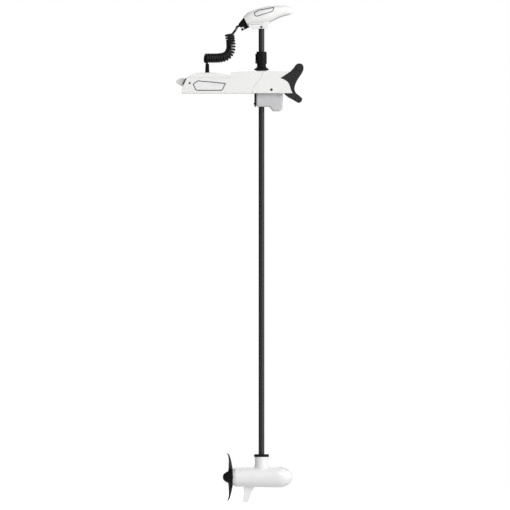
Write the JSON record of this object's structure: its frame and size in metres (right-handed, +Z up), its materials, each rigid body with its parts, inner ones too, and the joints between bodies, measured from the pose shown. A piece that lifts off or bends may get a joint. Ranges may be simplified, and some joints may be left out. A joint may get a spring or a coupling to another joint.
{
  "type": "trolling motor",
  "caption": "Bow-mount electric trolling motor: deck mount with tilting steering head, sliding composite shaft, control head, coiled cord and lower unit with two-blade propeller.",
  "frame": {"origin": "on the deck under the mount, in the middle of the four deck bolts", "axes": "+X towards the bow, the way the motor drives; +Y to port; +Z up along the deployed shaft"},
  "size_m": [0.6256, 0.2011, 2.436],
  "materials": {
    "white_plastic": "gloss white ASA moulding",
    "pale_plastic": "satin pale grey moulding",
    "case_white": "satin white paint",
    "black_plastic": "fine textured black",
    "black_paint": "satin black powder coat",
    "black_rubber": "matte black",
    "cord_jacket": "satin black polyurethane",
    "composite_shaft": "satin pultruded composite",
    "aluminium": "anodised",
    "steel": "stainless",
    "dark_steel": "black oxide",
    "bush_bronze": "sintered bronze",
    "gear_plastic": "nylon",
    "magnet": "ferrite",
    "windings": "enamelled copper on iron",
    "circuit": "coated board",
    "motor_paint": "gloss white paint"
  },
  "bodies": {
    "mount": {"bow_plate": "aluminium", "side_plate_left": "white_plastic", "side_plate_right": "white_plastic", "front_bracket_left": "white_plastic", "front_bracket_right": "white_plastic", "rear_cover": "white_plastic", "motor_rest_left": "black_plastic", "motor_rest_right": "black_plastic", "mount_screws": "dark_steel", "tilt_pin": "steel", "tilt_pin_clips": "steel", "latch_guide": "black_plastic", "latch_spring": "steel", "lever_pin": "steel", "lever_seal": "black_rubber", "cord_strain_relief": "black_rubber", "cord_tail": "cord_jacket", "coil_cord": "cord_jacket"},
    "release_lever": {"release_lever": "pale_plastic"},
    "latch_rod": {"latch_rod": "steel"},
    "steering_unit": {"tilt_yoke": "black_paint", "steering_bushes": "bush_bronze", "gear_case": "case_white", "gear_case_lid": "case_white", "case_screws": "dark_steel", "gear_plate": "aluminium", "steering_motor": "steel", "shaft_seal": "black_rubber"},
    "idler_gear": {"idler_gear": "gear_plastic"},
    "motor_pinion": {"motor_pinion": "steel"},
    "steering_hub": {"steering_hub": "black_plastic", "hub_gear": "gear_plastic", "shaft_bushes": "bush_bronze", "collar_front": "black_plastic", "collar_rear": "black_plastic", "collar_lever_pin": "steel"},
    "collar_lever": {"collar_lever": "black_plastic"},
    "shaft": {"shaft_tube": "composite_shaft", "shaft_cable": "black_rubber", "head_base": "white_plastic", "head_cover": "white_plastic", "head_bolt": "dark_steel", "head_board": "circuit", "cord_boot": "black_rubber", "aux_connector": "black_plastic", "cord_lead": "cord_jacket", "neck_ring": "black_plastic", "motor_housing": "motor_paint", "nose_cone": "motor_paint", "prop_end_cap": "motor_paint", "prop_seal": "black_rubber", "magnets": "magnet", "brush_gear": "black_plastic", "shaft_bearings": "steel", "through_bolts": "dark_steel"},
    "propeller": {"propeller": "black_plastic", "prop_shaft": "steel", "armature": "windings", "drive_pin": "steel", "prop_nut": "black_plastic"}
  },
  "joints": [
    {"name": "stow_tilt", "type": "hinge", "parent": "mount", "child": "steering_unit", "pos_m": [0.101, 0, 0.029], "axis": [0, -1, 0], "range_deg": [0, 90]},
    {"name": "steer", "type": "hinge", "parent": "steering_unit", "child": "steering_hub", "pos_m": [0.213, 0, 0], "axis": [0, 0, 1], "range_deg": [-180, 180]},
    {"name": "depth", "type": "slide", "parent": "steering_hub", "child": "shaft", "axis": [0, 0, 1], "range_m": [-0.1, 1.5], "deforming": ["cord_tail", "coil_cord", "cord_lead"]},
    {"name": "prop_spin", "type": "hinge", "parent": "shaft", "child": "propeller", "pos_m": [0.213, 0, -1.88], "axis": [1, 0, 0], "continuous": true},
    {"name": "lever_release", "type": "hinge", "parent": "mount", "child": "release_lever", "pos_m": [-0.136, -0.036, 0.032], "axis": [0, -1, 0], "range_deg": [0, 18], "stiffness_Nm_per_rad": 1.5, "springref_deg": -28.65},
    {"name": "latch_slide", "type": "slide", "parent": "mount", "child": "latch_rod", "axis": [-1, 0, 0], "range_m": [0, 0.0028], "deforming": ["latch_spring"]},
    {"name": "idler_spin", "type": "hinge", "parent": "steering_unit", "child": "idler_gear", "pos_m": [0.25761, 0.01017, 0], "axis": [0, 0, 1], "range_deg": [-145, 145]},
    {"name": "pinion_spin", "type": "hinge", "parent": "steering_unit", "child": "motor_pinion", "pos_m": [0.289, 0, 0], "axis": [0, 0, 1], "range_deg": [-490, 490]},
    {"name": "collar_clamp", "type": "hinge", "parent": "steering_hub", "child": "collar_lever", "pos_m": [0.185, -0.014, 0.1705], "axis": [0, 0, 1], "range_deg": [0, 110]}
  ],
  "couplings": [
    {"joint": "idler_spin", "follows": "steer", "ratio": -0.79412},
    {"joint": "pinion_spin", "follows": "steer", "ratio": 2.7},
    {"joint": "latch_slide", "follows": "lever_release", "m_per_rad": 0.008}
  ]
}
